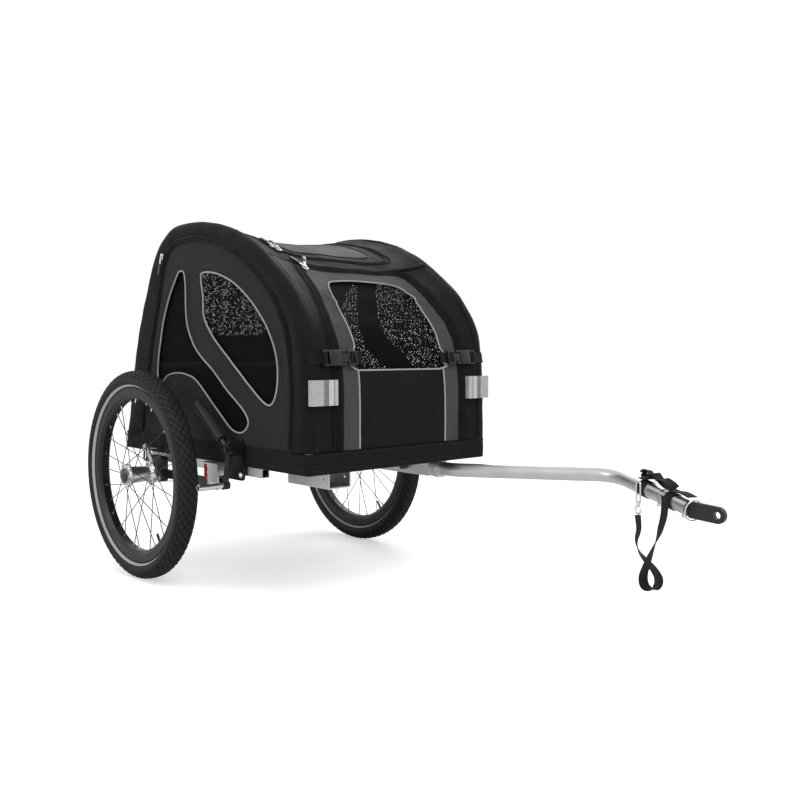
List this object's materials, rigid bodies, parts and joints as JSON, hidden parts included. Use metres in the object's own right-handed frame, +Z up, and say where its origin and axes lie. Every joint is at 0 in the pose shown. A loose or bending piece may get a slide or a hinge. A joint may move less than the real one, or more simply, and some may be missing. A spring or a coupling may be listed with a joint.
{
  "type": "dog bike trailer",
  "caption": "Two-wheeled dog trailer with a cloth cabin on a tube frame, a bent drawbar with a hitch tongue, sprung swing arms, a parking brake, a zip door and a roof vent.",
  "frame": {"origin": "on the ground under the middle of the bounding box, hanging strap left out", "axes": "+X forward to the hitch, +Y to the left, +Z up"},
  "size_m": [1.4662, 0.78, 0.8489],
  "materials": {
    "frame_black": "satin powder coat",
    "frame_silver": "satin anodised",
    "board": "textured",
    "mat": "woven",
    "socket_black": "textured",
    "knob_black": "smooth",
    "bracket_silver": "bead blasted",
    "bolt_steel": "polished",
    "brake_black": "satin powder coat",
    "grip_rubber": "matt",
    "bar_silver": "bright",
    "cloth_black": "coated ripstop",
    "cloth_grey": "coated ripstop",
    "mesh_black": "open net",
    "reflector_clear": "ribbed",
    "reflector_red": "ribbed",
    "buckle_black": "smooth",
    "webbing_black": "woven webbing",
    "zip_metal": "polished",
    "drawbar_silver": "satin anodised",
    "hitch_black": "satin",
    "ring_steel": "polished",
    "hook_steel": "polished",
    "elastomer_red": "smooth",
    "arm_black": "satin",
    "link_silver": "brushed",
    "tyre": "block tread",
    "tube_rubber": "smooth",
    "rim_black": "gloss anodised",
    "spoke_black": "satin",
    "nipple_silver": "polished",
    "hub_silver": "polished",
    "cap_black": "smooth"
  },
  "bodies": {
    "chassis": {"frame_rails": "frame_black", "cross_tubes": "frame_black", "hoops": "frame_silver", "floor_board": "board", "floor_mat": "mat", "drawbar_socket": "socket_black", "accessory_socket": "frame_black", "suspension_brackets": "bracket_silver", "frame_bolts": "bolt_steel", "elastomer_right": "elastomer_red", "elastomer_left": "elastomer_red", "brake_bracket": "brake_black", "side_panels": "cloth_black", "side_mesh": "mesh_black", "edge_rolls": "cloth_black", "bottom_hem": "cloth_black", "front_surround": "cloth_grey", "roof_panel": "cloth_grey", "rear_panel": "cloth_black", "front_reflectors": "reflector_clear", "rear_reflectors": "reflector_red", "buckle_anchors": "webbing_black", "zip_pulls": "zip_metal", "drawbar_tube": "drawbar_silver", "hitch_tube": "drawbar_silver", "strap_bands": "webbing_black", "safety_strap": "webbing_black", "snap_hook": "hook_steel"},
    "parking_brake": {"brake_lever": "brake_black", "brake_grip": "grip_rubber", "brake_bar": "bar_silver"},
    "front_door": {"front_flap": "cloth_black", "front_window": "mesh_black", "buckles": "buckle_black", "flap_zip_pull": "zip_metal"},
    "roof_vent": {"roof_hatch": "cloth_grey"},
    "drawbar_lock": {"lock_pin": "knob_black"},
    "hitch": {"hitch_tongue": "hitch_black", "hitch_ring": "ring_steel"},
    "suspension_right": {"swing_arm_right": "arm_black", "axle_right": "arm_black", "limit_link_right": "link_silver"},
    "wheel_right": {"tyre_right": "tyre", "inner_tube_right": "tube_rubber", "rim_right": "rim_black", "spokes_right": "spoke_black", "nipples_right": "nipple_silver", "hub_right": "hub_silver"},
    "wheel_release_right": {"hub_button_right": "cap_black"},
    "suspension_left": {"swing_arm_left": "arm_black", "axle_left": "arm_black", "limit_link_left": "link_silver"},
    "wheel_left": {"tyre_left": "tyre", "inner_tube_left": "tube_rubber", "rim_left": "rim_black", "spokes_left": "spoke_black", "nipples_left": "nipple_silver", "hub_left": "hub_silver"},
    "wheel_release_left": {"hub_button_left": "cap_black"}
  },
  "joints": [
    {"name": "suspension_right", "type": "hinge", "parent": "chassis", "child": "suspension_right", "pos_m": [-0.24712, -0.2735, 0.246], "axis": [0, 1, 0], "range_deg": [0, 5], "stiffness_Nm_per_rad": 600, "springref_deg": -2.01, "deforming": ["elastomer_right"]},
    {"name": "wheel_spin_right", "type": "hinge", "parent": "suspension_right", "child": "wheel_right", "pos_m": [-0.48312, -0.3445, 0.25], "axis": [0, 1, 0], "continuous": true},
    {"name": "wheel_release_right", "type": "slide", "parent": "wheel_right", "child": "wheel_release_right", "axis": [0, 1, 0], "range_m": [0, 0.003], "stiffness_N_per_m": 800, "springref_m": -0.002},
    {"name": "suspension_left", "type": "hinge", "parent": "chassis", "child": "suspension_left", "pos_m": [-0.24712, 0.2735, 0.246], "axis": [0, 1, 0], "range_deg": [0, 5], "stiffness_Nm_per_rad": 600, "springref_deg": -2.01, "deforming": ["elastomer_left"]},
    {"name": "wheel_spin_left", "type": "hinge", "parent": "suspension_left", "child": "wheel_left", "pos_m": [-0.48312, 0.3445, 0.25], "axis": [0, 1, 0], "continuous": true},
    {"name": "wheel_release_left", "type": "slide", "parent": "wheel_left", "child": "wheel_release_left", "axis": [0, -1, 0], "range_m": [0, 0.003], "stiffness_N_per_m": 800, "springref_m": -0.002},
    {"name": "parking_brake", "type": "hinge", "parent": "chassis", "child": "parking_brake", "pos_m": [-0.15812, -0.296, 0.332], "axis": [0, 1, 0], "range_deg": [0, 40]},
    {"name": "front_door", "type": "hinge", "parent": "chassis", "child": "front_door", "pos_m": [-0.09152, 0, 0.75718], "axis": [0, -1, 0], "range_deg": [0, 95]},
    {"name": "roof_vent", "type": "hinge", "parent": "chassis", "child": "roof_vent", "pos_m": [-0.41361, 0, 0.84949], "axis": [0, -1, 0], "range_deg": [0, 100]},
    {"name": "drawbar_lock", "type": "slide", "parent": "chassis", "child": "drawbar_lock", "axis": [0, -1, 0], "range_m": [0, 0.01], "stiffness_N_per_m": 400, "springref_m": -0.005},
    {"name": "hitch_swivel", "type": "hinge", "parent": "chassis", "child": "hitch", "pos_m": [0.66325, 0.20652, 0.24593], "axis": [0.9182, -0.371, -0.1392], "range_deg": [-30, 30]}
  ]
}
